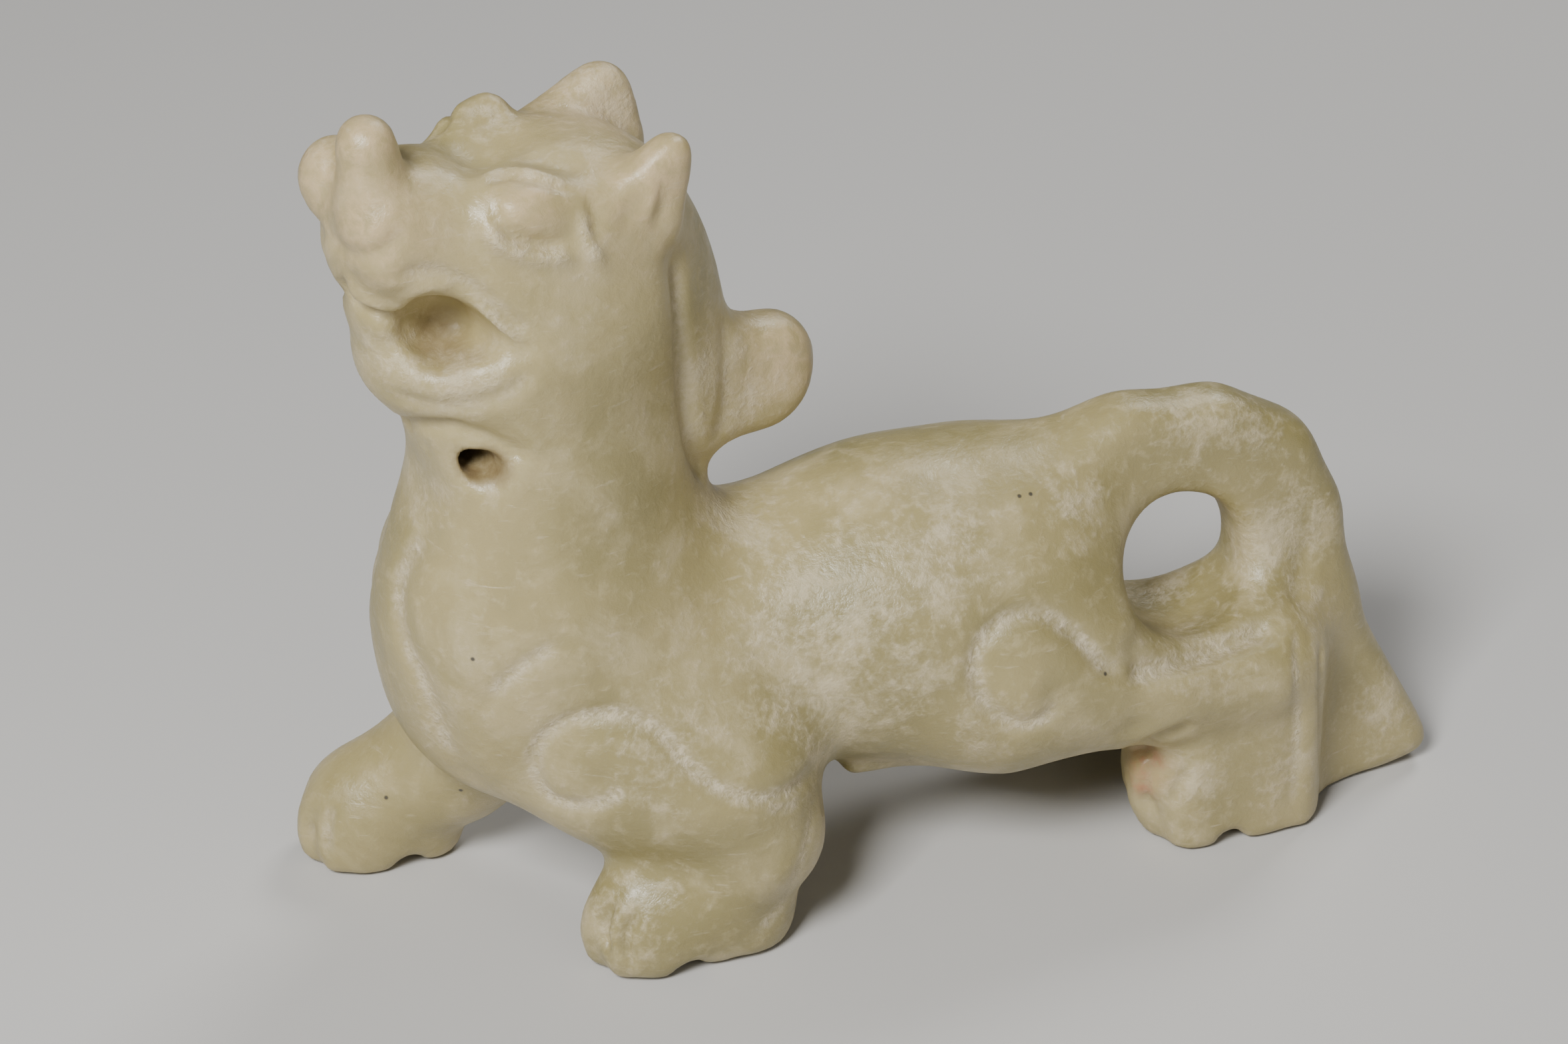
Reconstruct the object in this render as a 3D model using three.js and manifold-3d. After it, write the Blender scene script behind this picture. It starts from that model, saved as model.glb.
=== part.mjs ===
import * as THREE from "three";
import { mergeVertices } from "three/addons/utils/BufferGeometryUtils.js";
import Module from "manifold-3d";

// A small stone beast that strides toward -X with its head raised.
// Millimetres, +Z up, the beast's left side toward -Y. Every form below is a
// rounded volume given by its centre and radii, or by joints [x, y, z, radius].

const stoneColour = "#b3ab85";
const stoneRoughness = 0.36;

// how finely the surface is sampled, and how many facets are kept
const sampleStep = 0.6;
const blockCells = 4;
const clearShare = 1.9;
const facetCount = 9300;
const pinchDepth = 0.02;
const settleShare = 0.4;
const settleStep = 0.3;
const leastSlope = 0.2;
const roomLow = [-41.03, -15.07, -5.11];
const roomHigh = [48, 20, 66];

// trunk
const chest = { at: [-21.6, 2.2, 24.2], radii: [10.2, 10.0, 9.0] };
const breast = { at: [-20.2, 2.8, 17.8], radii: [10.8, 10.2, 9.0] };
const backJoints = [[-14, 1.6, 19.8, 8.9], [-5, 0.9, 18.9, 7.9], [2, 0.6, 19.2, 9.8], [8.4, 0.4, 19.0, 10.9]];
const bellyStub = [[-1.2, -3.2, 9.4, 1.1], [3.4, -3.5, 9.3, 0.7]];
const shoulder = { at: [-15.0, -4.4, 14.8], radii: [9.2, 6.3, 7.8] };
const farShoulder = { at: [-18.5, 6.5, 14.8], radii: [8.4, 6.3, 7.6] };
const trunkFillet = 4;
const stubFillet = 0.5;

// front legs, from the shoulder to the elbow to the wrist
const frontLeg = [[-11.4, -6, 12.3, 6.1], [-9.9, -6.6, 8.2, 4.9], [-13.0, -6.7, 4.8, 4.2]];
const frontPaw = { at: [-16.6, -6.9, 2.6], radii: [5.0, 3.9, 4.8] };
const frontHeel = { at: [-11.3, -6.9, 2.9], radii: [4.6, 3.6, 5.2] };
const farFrontLeg = [[-20, 7.5, 13.5, 5.8], [-25.2, 9.6, 7.4, 4.6], [-30.0, 11.2, 4.2, 4.0]];
const farFrontPaw = { at: [-31.2, 11.4, 2.4], radii: [4.7, 4.1, 5.0] };
const farFrontHeel = { at: [-27.4, 10.8, 2.4], radii: [3.1, 3.3, 4.1] };
const legFillet = 3;
const wristFillet = 1;
const pawFillet = 1.5;

// hind legs, from the haunch along the thigh to the hock, then down
const thigh = [[9, -4.4, 14.8, 6.2], [14.5, -5.2, 14.7, 5.0], [18.5, -5.9, 13.5, 4.3],
  [26.6, -6.3, 12.9, 3.8]];
const shank = { at: [25.6, -5.3, 6.4], half: [5.7, 3.4, 8.4], round: 2.3 };
const hindPaw = { at: [21.8, -4.6, 4.6], radii: [4.1, 3.5, 5.3] };
const thighFillet = 2;
const haunchFillet = 4.5;
const hockFillet = 1.2;
const farThigh = [[9, 5, 13.4, 6.2], [17.5, 6.2, 8.8, 4.2], [25, 6.9, 6.0, 3.6]];
const farHindPaw = { at: [27.6, 7.2, 3.0], radii: [5.8, 3.8, 5.2] };

// pelvis and tail: the tail is a slab that arches up and comes down to the ground
const pelvis = [[12, 0.4, 15.5, 7.0], [20.5, -0.8, 12.2, 4.8], [28.6, -1.2, 12.0, 4.2]];
const tailArch = [[13.7, 23.6, 4.6], [18.6, 27.1, 4.2], [24.4, 27.2, 3.7], [28.3, 24.9, 3.8],
  [30.3, 20.8, 3.8], [32.1, 14.5, 3.7]];
const tailEnd = { corners: [[33.1, 15.6], [40.5, 1.9], [30.4, -0.4]], round: 1.5 };
const tailBelowHole = { corners: [[18, 15.6], [31, 15.0], [29.5, 9.0]], round: 1.0 };
const tailHalfThick = 2.6;
const tailMiddle = -0.7;
const tailLean = 0.06;
const tailLeanBelow = 16;
const tailRim = 1.9;
const tailFillet = 5;
const tailHole = { at: [21.5, 19.9], radius: 4.75, rise: 0.35 };
const holeFillet = 2;

// neck and head are measured in a frame turned about an upright axis:
// a runs toward the snout, b toward the beast's left, z up
const headAxis = [-20, 1.2];
const headTurn = 9;

const neck = [[0.0, 0, 25, 8.8], [0.8, 0, 34, 8.5], [1.4, 0, 43, 8.2]];
const neckWidth = 0.86;
const throat = [[12.4, -9, 34.6, 3.4], [12.4, 9, 34.6, 3.4]];
const mane = { at: [-4.6, 0, 40.0], radii: [7.4, 4.7, 13.0] };
const maneCurl = {
  joints: [[-10.5, 36.6, 4.4], [-14.4, 36.0, 3.9]], knob: [-15.7, 37.4, 2.5], halfThick: 2.4,
};
const skull = { at: [1.9, 0, 48.0], radii: [8.6, 6.9, 8.1] };
const jaw = { at: [7.3, 0, 44.0], radii: [5.7, 5.5, 5.2] };
const lowerLip = { at: [9.6, 0, 47.0], radii: [3.9, 4.2, 2.2] };
const snout = { at: [10.0, 0.6, 52.4], radii: [4.6, 4.7, 4.4] };
const noseKnob = [[12.0, 1.7, 55.8, 2.1], [12.5, 1.9, 58.9, 1.95]];
const noseBulb = { at: [12.8, -2.2, 55.2], radii: [2.4, 2.3, 2.7] };
const nearBrow = [[8.4, 3.0, 53.8, 0.8], [5.6, 4.1, 54.8, 1.0], [2.8, 4.5, 54.9, 1.1], [0.2, 5.2, 54.0, 0.9]];
const farBrow = [[3.6, -4.3, 55.6, 1.3], [1.7, -4.5, 55.8, 1.6]];
const eye = { at: [3.8, 5.9, 53.9], radii: [2.8, 1.0, 1.7] };
const farEye = { at: [2.6, -5.6, 52.6], radii: [2.4, 1.0, 1.6] };
const nearEar = { corners: [[-0.2, 51.6], [-5.6, 55.7], [-4.9, 51.2]], round: 1.5 };
const farEar = { corners: [[-2.2, 52.9], [-6.5, 55.0], [-7.2, 51.6]], round: 2.2 };
const earHalfThick = 1.4;
const earAway = 5.3;
const earLean = 0.08;
const earLeanFrom = 52;
const earRim = 1.1;
const forehead = { at: [6.0, 0, 58.0], radii: [6.0, 3.0, 3.2] };
const headFillet = 5;
const neckFillet = 4.5;
const maneFillet = 2.2;
const curlFillet = 0.8;
const curlRim = 2;
const faceFillet = 1.5;
const browFillet = 1.1;
const knobFillet = 0.8;
const eyeFillet = 0.6;

// the mouth is a deep cup from each side, closed between; the cord hole runs through
const mouthCup = [[9.7, 6.0, 46.9, 2.4], [8.7, 2.3, 46.1, 1.4]];
const cupFillet = 0.6;
const cordDrill = { at: [7.1, 37.3], radius: 1.0, length: 24 };

// the pads of each paw are parted underneath, toe from heel
const soleNotches = [
  [[-15.2, -12, 0, 1.1], [-15.2, -2, 0, 0.8]],
  [[24.4, -11, 0, 1.2], [24.4, -2, 0, 0.8]],
  [[-28.9, 6, 0, 1.1], [-28.9, 16, 0, 0.8]],
];
const notchFillet = 0.5;

// carved lines. A line on the body is drawn in side view as [x, z], one on the
// head as [a, z], one on the breast in front view as [y, z], and the one on top of
// the thigh from above as [x, y]
const lineReach = 1.5;
const headLinesFrom = { height: 31, beside: 1.5 };
const bodyLinesWithin = { height: 32, front: -25, near: -3, far: 5 };
const thighLineWithin = [12, 19];
const shoulderScroll = [[-20.6, 16.0], [-21.4, 13.8], [-23.6, 13.8], [-24.2, 16.4], [-22.9, 19.2],
  [-19.2, 20.4], [-16.2, 18.0], [-13.6, 15.2], [-10.4, 13.6], [-6.6, 13.4]];
const haunchScroll = [[9.4, 17.2], [9.2, 15.4], [7.0, 15.0], [4.9, 17.2], [4.5, 20.6], [7.0, 22.7],
  [10.1, 21.8], [12.6, 18.6], [15.6, 16.8]];
const thighTop = [[15.6, -9.6], [21.0, -8.6], [26.6, -7.6]];
const breastDash = [[-26.9, 21.3], [-25.2, 24.0], [-22.5, 25.7]];
const hockLine = [[28.2, 15.0], [28.5, 9.0], [28.7, 1.5]];
const forearmLine = [[-6.9, 11.5], [-7.1, 8.6], [-8.8, 5.4], [-10.6, 2.6]];
const breastEdge = [[-2.2, 31.6], [-0.9, 27.6], [-2.3, 24.0], [-3.6, 19.0], [-2.8, 14.0]];
const breastMiddle = 2.2;
const farShoulderAhead = 4;

const lidLine = [[7.0, 54.3], [6.2, 52.8], [5.0, 52.2], [3.0, 51.3], [1.9, 51.1]];
const eyeCorner = [[1.1, 54.2], [0.8, 53.0], [0.6, 51.7], [0.0, 50.6]];
const lipLine = [[14.9, 51.3], [13.4, 50.1], [11.8, 49.3], [11.0, 49.8]];
const mouthTop = [[10.3, 50.2], [8.6, 49.9], [6.6, 48.3], [4.4, 46.1]];
const mouthLow = [[11.7, 45.2], [10.3, 44.4], [8.6, 43.9], [7.2, 44.0], [5.7, 44.9], [4.8, 45.8]];
const jawLine = [[9.8, 40.2], [8.3, 40.1], [6.6, 39.6], [5.1, 38.2]];
const maneLine = [[-5.7, 49.2], [-5.9, 46.0], [-6.2, 42.5], [-6.8, 38.2], [-7.3, 35.1], [-9.2, 30.8]];
const mouthDent = { from: [9.6, 0, 47.2, 1.6], to: [5.4, 0, 45.9, 0.2], depth: 0.9, edge: 0.8 };

const toeGaps = [
  { y: -8.0, x: [-23, -18.2] }, { y: -4.9, x: [-23, -18.2] },
  { y: -6.7, x: [17, 20.8] }, { y: -3.9, x: [17, 20.8] },
  { y: 10.0, x: [-37, -32.6] }, { y: 12.9, x: [-37, -32.6] },
  { y: 5.8, x: [21, 24.4] }, { y: 8.4, x: [21, 24.4] },
];
const toeGap = { depth: 0.75, width: 0.55, top: 5.5, fade: 1.5 };

function clamp(value, low, high) {
  return Math.min(high, Math.max(low, value));
}

function span(u, v, w = 0) {
  return Math.sqrt(u * u + v * v + w * w);
}

// joins two forms with a rounded fillet of the given width
function blend(first, second, width) {
  const near = Math.max(width - Math.abs(first - second), 0) / width;
  return Math.min(first, second) - near * near * width * 0.25;
}

// takes the second form out of the first with a rounded edge
function carve(first, second, width) {
  return -blend(-first, second, width);
}

function egg(x, y, z, form) {
  const [cx, cy, cz] = form.at;
  const [rx, ry, rz] = form.radii;
  const u = (x - cx) / rx;
  const v = (y - cy) / ry;
  const w = (z - cz) / rz;
  const far = span(u, v, w);
  const slope = span(u / rx, v / ry, w / rz);
  return slope > 1e-9 ? far * (far - 1) / slope : -Math.min(rx, ry, rz);
}

// an egg with fuller sides
function pebble(x, y, z, form) {
  const away = [x - form.at[0], y - form.at[1], z - form.at[2]];
  const [u, v, w] = away.map((value, axis) => Math.abs(value) / form.radii[axis]);
  const far = Math.cbrt(u * u * u + v * v * v + w * w * w);
  const [rx, ry, rz] = form.radii;
  const slope = span(u * u / rx, v * v / ry, w * w / rz);
  return slope > 1e-9 ? far * far * (far - 1) / slope : -Math.min(rx, ry, rz);
}

function bone(x, y, z, start, end) {
  const ex = end[0] - start[0];
  const ey = end[1] - start[1];
  const ez = end[2] - start[2];
  const px = x - start[0];
  const py = y - start[1];
  const pz = z - start[2];
  const along = clamp((px * ex + py * ey + pz * ez) / (ex * ex + ey * ey + ez * ez), 0, 1);
  const radius = start[3] + along * (end[3] - start[3]);
  return span(px - along * ex, py - along * ey, pz - along * ez) - radius;
}

function chain(x, y, z, joints, width) {
  let d = bone(x, y, z, joints[0], joints[1]);
  for (let i = 2; i < joints.length; i += 1) {
    d = blend(d, bone(x, y, z, joints[i - 1], joints[i]), width);
  }
  return d;
}

// a flat triangle with rounded corners
function triangle(x, z, form) {
  const corners = form.corners;
  let nearest = Infinity;
  let inside = true;
  let turn = 0;
  for (let i = 0; i < 3; i += 1) {
    const [ax, az] = corners[i];
    const [bx, bz] = corners[(i + 1) % 3];
    const ex = bx - ax;
    const ez = bz - az;
    const px = x - ax;
    const pz = z - az;
    const along = clamp((px * ex + pz * ez) / (ex * ex + ez * ez), 0, 1);
    nearest = Math.min(nearest, span(px - along * ex, pz - along * ez));
    const side = Math.sign(ex * pz - ez * px);
    turn = turn || side;
    inside = inside && side === turn;
  }
  return (inside ? -nearest : nearest) - form.round;
}

// gives a flat outline a thickness, with its rim rounded
function slab(outline, across, halfThick, rim) {
  const u = outline + rim;
  const v = Math.abs(across) - halfThick + rim;
  return Math.min(Math.max(u, v), 0) + span(Math.max(u, 0), Math.max(v, 0)) - rim;
}

// an upright block with rounded edges
function block(x, y, z, form) {
  const u = Math.abs(x - form.at[0]) - form.half[0] + form.round;
  const v = Math.abs(y - form.at[1]) - form.half[1] + form.round;
  const w = Math.abs(z - form.at[2]) - form.half[2] + form.round;
  return Math.min(Math.max(u, v, w), 0) + span(Math.max(u, 0), Math.max(v, 0), Math.max(w, 0)) - form.round;
}

function trunk(x, y, z) {
  let d = blend(egg(x, y, z, chest), egg(x, y, z, breast), trunkFillet);
  d = blend(d, chain(x, y, z, backJoints, trunkFillet), trunkFillet);
  d = blend(d, egg(x, y, z, shoulder), legFillet);
  return blend(d, egg(x, y, z, farShoulder), legFillet);
}

function frontLegs(x, y, z) {
  let near = blend(chain(x, y, z, frontLeg, wristFillet), egg(x, y, z, frontPaw), pawFillet);
  near = blend(near, egg(x, y, z, frontHeel), wristFillet);
  let far = blend(chain(x, y, z, farFrontLeg, wristFillet), egg(x, y, z, farFrontPaw), pawFillet);
  far = blend(far, egg(x, y, z, farFrontHeel), wristFillet);
  return Math.min(near, far);
}

function thighs(x, y, z) {
  return Math.min(chain(x, y, z, thigh, thighFillet), chain(x, y, z, farThigh, thighFillet));
}

function hindFeet(x, y, z) {
  const near = blend(block(x, y, z, shank), egg(x, y, z, hindPaw), pawFillet);
  return Math.min(near, egg(x, y, z, farHindPaw));
}

function tail(x, y, z) {
  const joints = tailArch.map(([jx, jz, radius]) => [jx, 0, jz, radius]);
  let outline = chain(x, 0, z, joints, holeFillet);
  outline = blend(outline, triangle(x, z, tailEnd), holeFillet);
  outline = blend(outline, triangle(x, z, tailBelowHole), holeFillet);
  const middle = tailMiddle - tailLean * Math.max(0, tailLeanBelow - z);
  return slab(outline, y - middle, tailHalfThick, tailRim);
}

// the open loop; beside the tail, on the near side, it rises to clear the thigh
function throughTail(x, y, z) {
  const beside = Math.max(0, tailMiddle - tailHalfThick - y);
  const middle = tailHole.at[1] + tailHole.rise * beside;
  return span(x - tailHole.at[0], z - middle) - tailHole.radius;
}

function ears(a, b, z) {
  const ear = b > 0 ? nearEar : farEar;
  const across = Math.abs(b) - earAway - earLean * (z - earLeanFrom);
  return slab(triangle(a, z, ear), across, earHalfThick, earRim);
}

function curl(a, b, z) {
  const [root, end] = maneCurl.joints;
  const [ka, kz, radius] = maneCurl.knob;
  const lobe = bone(a, 0, z, [root[0], 0, root[1], root[2]], [end[0], 0, end[1], end[2]]);
  const outline = blend(lobe, span(a - ka, z - kz) - radius, curlFillet);
  return slab(outline, b, maneCurl.halfThick, curlRim);
}

// a soft line through the given points, as short straight steps
function drawn(points, depth = 0.4, width = 0.8) {
  const curve = new THREE.SplineCurve(points.map(([u, v]) => new THREE.Vector2(u, v)));
  const path = curve.getPoints(points.length * 3);
  const box = new THREE.Box2().setFromPoints(path).expandByScalar(3 * width);
  return { path, box, depth, width };
}

function groove(u, v, line) {
  const { min, max } = line.box;
  if (u < min.x || u > max.x || v < min.y || v > max.y) return 0;
  let nearest = Infinity;
  for (let i = 1; i < line.path.length; i += 1) {
    const a = line.path[i - 1];
    const b = line.path[i];
    const ex = b.x - a.x;
    const ey = b.y - a.y;
    const along = clamp(((u - a.x) * ex + (v - a.y) * ey) / (ex * ex + ey * ey), 0, 1);
    const du = u - a.x - along * ex;
    const dv = v - a.y - along * ey;
    nearest = Math.min(nearest, du * du + dv * dv);
  }
  return line.depth * Math.exp(-nearest / (line.width * line.width));
}

function toHead(x, y) {
  const angle = headTurn * Math.PI / 180;
  const dx = x - headAxis[0];
  const dy = y - headAxis[1];
  return [-Math.cos(angle) * dx - Math.sin(angle) * dy, Math.sin(angle) * dx - Math.cos(angle) * dy];
}

const nearLines = [
  drawn(shoulderScroll), drawn(haunchScroll), drawn(breastDash, 0.3, 0.8),
  drawn(hockLine, 0.3), drawn(forearmLine, 0.2),
];
const farLines = [
  drawn(shoulderScroll.map(([x, z]) => [x - farShoulderAhead, z])), drawn(haunchScroll),
];
const headLines = [drawn(lipLine, 0.7), drawn(mouthTop), drawn(mouthLow), drawn(jawLine), drawn(maneLine)];
const headRidges = [drawn(lidLine, 0.3, 0.6), drawn(eyeCorner, 0.3, 0.6)];
const topLine = drawn(thighTop, 0.6, 0.9);
const frontLine = drawn(breastEdge);

function deepest(u, v, lines) {
  let depth = 0;
  for (const line of lines) {
    depth = Math.max(depth, groove(u, v, line));
  }
  return depth;
}

// how deep the lines are cut at this place; below 0 where a ridge stands out
function carvedLines(x, y, z) {
  let depth = 0;
  const [a, b] = toHead(x, y);
  if (z > headLinesFrom.height && Math.abs(b) > headLinesFrom.beside) {
    const off = Math.max(0, bone(a, 0, z, mouthDent.from, mouthDent.to)) / mouthDent.edge;
    const dent = mouthDent.depth * Math.exp(-off * off);
    depth = Math.max(deepest(a, z, headLines), dent) - deepest(a, z, headRidges);
  }
  if (z < bodyLinesWithin.height) depth = Math.max(depth, bodyLines(x, y, z));
  if (z < toeGap.top) depth = Math.max(depth, toeLines(x, y, z));
  return depth;
}

function bodyLines(x, y, z) {
  let depth = 0;
  if (x < bodyLinesWithin.front) {
    const across = y < breastMiddle ? y : 2 * breastMiddle - y;
    depth = groove(across, z, frontLine);
  }
  if (y < bodyLinesWithin.near) {
    depth = Math.max(depth, deepest(x, z, nearLines));
    const onThigh = z > thighLineWithin[0] && z < thighLineWithin[1];
    if (onThigh) depth = Math.max(depth, groove(x, y, topLine));
  }
  if (y > bodyLinesWithin.far) depth = Math.max(depth, deepest(x, z, farLines));
  return depth;
}

function toeLines(x, y, z) {
  let depth = 0;
  for (const gap of toeGaps) {
    if (x < gap.x[0] || x > gap.x[1]) continue;
    const fade = clamp((gap.x[1] - x) / toeGap.fade, 0, 1) * clamp((toeGap.top - z) / toeGap.fade, 0, 1);
    depth = Math.max(depth, fade * toeGap.depth * Math.exp(-(((y - gap.y) / toeGap.width) ** 2)));
  }
  return depth;
}

// adds the neck and the head to the trunk
function head(x, y, z, body) {
  const [a, b] = toHead(x, y);
  let d = chain(a, b / neckWidth, z, neck, maneFillet);
  d = blend(d, egg(a, b, z, mane), maneFillet);
  d = carve(blend(body, d, neckFillet), bone(a, b, z, ...throat), faceFillet);
  d = blend(d, curl(a, b, z), maneFillet);
  d = blend(d, pebble(a, b, z, skull), headFillet);
  d = blend(d, blend(egg(a, b, z, jaw), egg(a, b, z, lowerLip), browFillet), faceFillet);
  d = carve(d, egg(a, b, z, forehead), faceFillet);
  d = blend(d, pebble(a, b, z, snout), faceFillet);
  d = blend(d, bone(a, b, z, ...noseKnob), knobFillet);
  d = blend(d, egg(a, b, z, noseBulb), knobFillet);
  d = blend(d, chain(a, b, z, nearBrow, browFillet), browFillet);
  d = blend(d, bone(a, b, z, ...farBrow), browFillet);
  d = blend(d, egg(a, b, z, b > 0 ? eye : farEye), eyeFillet);
  d = carve(d, bone(a, Math.abs(b), z, ...mouthCup), cupFillet);
  return blend(d, ears(a, b, z), faceFillet);
}

function beast(x, y, z) {
  let d = trunk(x, y, z);
  d = head(x, y, z, d);
  d = blend(d, bone(x, y, z, ...bellyStub), stubFillet);
  d = blend(d, frontLegs(x, y, z), legFillet);
  d = blend(d, chain(x, y, z, pelvis, thighFillet), legFillet);
  d = blend(d, thighs(x, y, z), haunchFillet);
  d = blend(d, hindFeet(x, y, z), hockFillet);
  d = blend(d, tail(x, y, z), tailFillet);
  d = carve(d, throughTail(x, y, z), holeFillet);
  for (const notch of soleNotches) {
    d = carve(d, bone(x, y, z, ...notch), notchFillet);
  }
  return Math.abs(d) < lineReach ? d + carvedLines(x, y, z) : d;
}

// values of the form on a grid; a block of the grid that lies well clear of the
// surface takes the value of its middle
function sampleField() {
  const count = roomLow.map((low, axis) => Math.ceil((roomHigh[axis] - low) / sampleStep) + 1);
  const values = new Float32Array(count[0] * count[1] * count[2]);
  const clear = blockCells * sampleStep * clearShare;
  for (let k = 0; k < count[2]; k += blockCells) {
    for (let j = 0; j < count[1]; j += blockCells) {
      for (let i = 0; i < count[0]; i += blockCells) {
        fillBlock([i, j, k], count, values, clear);
      }
    }
  }
  let filled = 1;
  while (filled > 0) filled = fillPinches(count, values);
  return { count, values };
}

// where two bits of stone would meet only along an edge, the gap is filled
function fillPinches(count, values) {
  const strides = [1, count[0], count[0] * count[1]];
  let filled = 0;
  for (let k = 0; k < count[2] - 1; k += 1) {
    for (let j = 0; j < count[1] - 1; j += 1) {
      for (let i = 0; i < count[0] - 1; i += 1) {
        const base = i * strides[0] + j * strides[1] + k * strides[2];
        for (let axis = 0; axis < 3; axis += 1) {
          const side = strides[(axis + 1) % 3];
          const up = strides[(axis + 2) % 3];
          const corners = [base, base + side, base + side + up, base + up];
          const inside = corners.map((at) => values[at] < 0);
          if (inside[0] === inside[1] || inside[0] !== inside[2] || inside[1] !== inside[3]) continue;
          const open = corners.filter((at, n) => !inside[n]);
          values[values[open[0]] < values[open[1]] ? open[0] : open[1]] = -pinchDepth;
          filled += 1;
        }
      }
    }
  }
  return filled;
}

function fillBlock(start, count, values, clear) {
  const middle = start.map((n, axis) => roomLow[axis] + (n + blockCells / 2) * sampleStep);
  const guess = beast(...middle);
  const end = start.map((n, axis) => Math.min(n + blockCells, count[axis]));
  for (let k = start[2]; k < end[2]; k += 1) {
    for (let j = start[1]; j < end[1]; j += 1) {
      for (let i = start[0]; i < end[0]; i += 1) {
        const at = i + count[0] * (j + count[1] * k);
        values[at] = Math.abs(guess) > clear ? guess : beast(
          roomLow[0] + i * sampleStep, roomLow[1] + j * sampleStep, roomLow[2] + k * sampleStep,
        );
      }
    }
  }
}

function slopeAt(x, y, z) {
  const reach = 0.05;
  return [
    (beast(x + reach, y, z) - beast(x - reach, y, z)) / (2 * reach),
    (beast(x, y + reach, z) - beast(x, y - reach, z)) / (2 * reach),
    (beast(x, y, z + reach) - beast(x, y, z - reach)) / (2 * reach),
  ];
}

// moves a point onto the surface, but not out of its own cell
function settle(point) {
  let [x, y, z] = point;
  const stay = sampleStep * settleShare;
  for (let pass = 0; pass < 3; pass += 1) {
    const off = beast(x, y, z);
    const slope = slopeAt(x, y, z);
    const steep = Math.max(slope[0] ** 2 + slope[1] ** 2 + slope[2] ** 2, leastSlope);
    const move = clamp(off / steep, -settleStep, settleStep);
    x -= slope[0] * move;
    y -= slope[1] * move;
    z -= slope[2] * move;
  }
  return [x, y, z].map((value, axis) => clamp(value, point[axis] - stay, point[axis] + stay));
}

// one point in every cell that the surface crosses, four points to a face
function wrapSurface() {
  const { count, values } = sampleField();
  const strides = [1, count[0], count[0] * count[1]];
  const cellPoint = new Int32Array(values.length).fill(-1);
  const points = [];
  const faces = [];
  for (let k = 0; k < count[2] - 1; k += 1) {
    for (let j = 0; j < count[1] - 1; j += 1) {
      for (let i = 0; i < count[0] - 1; i += 1) {
        const base = i * strides[0] + j * strides[1] + k * strides[2];
        const sum = [0, 0, 0];
        let crossings = 0;
        for (let axis = 0; axis < 3; axis += 1) {
          const [next, other] = [(axis + 1) % 3, (axis + 2) % 3];
          for (let corner = 0; corner < 4; corner += 1) {
            const offset = [0, 0, 0];
            offset[next] = corner & 1;
            offset[other] = corner >> 1;
            const start = base + offset[0] * strides[0] + offset[1] * strides[1] + offset[2] * strides[2];
            const v0 = values[start];
            const v1 = values[start + strides[axis]];
            if ((v0 < 0) === (v1 < 0)) continue;
            offset[axis] = v0 / (v0 - v1);
            for (let n = 0; n < 3; n += 1) sum[n] += offset[n];
            crossings += 1;
          }
        }
        if (!crossings) continue;
        cellPoint[base] = points.length;
        const guess = [i, j, k].map((n, axis) => roomLow[axis] + (n + sum[axis] / crossings) * sampleStep);
        points.push(settle(guess));
      }
    }
  }
  for (let k = 1; k < count[2] - 1; k += 1) {
    for (let j = 1; j < count[1] - 1; j += 1) {
      for (let i = 1; i < count[0] - 1; i += 1) {
        const base = i * strides[0] + j * strides[1] + k * strides[2];
        for (let axis = 0; axis < 3; axis += 1) {
          const v0 = values[base];
          const v1 = values[base + strides[axis]];
          if ((v0 < 0) === (v1 < 0)) continue;
          const side = strides[(axis + 1) % 3];
          const up = strides[(axis + 2) % 3];
          const ring = [base - side - up, base - up, base, base - side].map((cell) => cellPoint[cell]);
          if (v0 > 0) ring.reverse();
          faces.push([ring[0], ring[1], ring[2]], [ring[0], ring[2], ring[3]]);
        }
      }
    }
  }
  return { points, faces };
}

// the pull of a flat facet on a point, and how far a point is from its facets
function quadricOf(a, b, c) {
  const n = normalOf(a, b, c);
  const size = span(...n);
  if (size < 1e-12) return new Float64Array(10);
  const [p, q, r] = n.map((value) => value / size);
  const s = -(p * a[0] + q * a[1] + r * a[2]);
  const terms = [p * p, p * q, p * r, p * s, q * q, q * r, q * s, r * r, r * s, s * s];
  return Float64Array.from(terms, (value) => value * size);
}

function normalOf(a, b, c) {
  const u = [b[0] - a[0], b[1] - a[1], b[2] - a[2]];
  const v = [c[0] - a[0], c[1] - a[1], c[2] - a[2]];
  return [u[1] * v[2] - u[2] * v[1], u[2] * v[0] - u[0] * v[2], u[0] * v[1] - u[1] * v[0]];
}

function errorAt(q, [x, y, z]) {
  return q[0] * x * x + 2 * q[1] * x * y + 2 * q[2] * x * z + 2 * q[3] * x + q[4] * y * y
    + 2 * q[5] * y * z + 2 * q[6] * y + q[7] * z * z + 2 * q[8] * z + q[9];
}

function bestPoint(q, start, end) {
  const hold = 1e-2;
  const middle = [0, 1, 2].map((n) => (start[n] + end[n]) / 2);
  const [m00, m01, m02, m11, m12, m22] = [q[0] + hold, q[1], q[2], q[4] + hold, q[5], q[7] + hold];
  const right = [hold * middle[0] - q[3], hold * middle[1] - q[6], hold * middle[2] - q[8]];
  const c00 = m11 * m22 - m12 * m12;
  const c01 = m02 * m12 - m01 * m22;
  const c02 = m01 * m12 - m02 * m11;
  const c11 = m00 * m22 - m02 * m02;
  const c12 = m01 * m02 - m00 * m12;
  const c22 = m00 * m11 - m01 * m01;
  const volume = m00 * c00 + m01 * c01 + m02 * c02;
  const [x, y, z] = right;
  return [c00 * x + c01 * y + c02 * z, c01 * x + c11 * y + c12 * z, c02 * x + c12 * y + c22 * z]
    .map((value) => value / volume);
}

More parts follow.
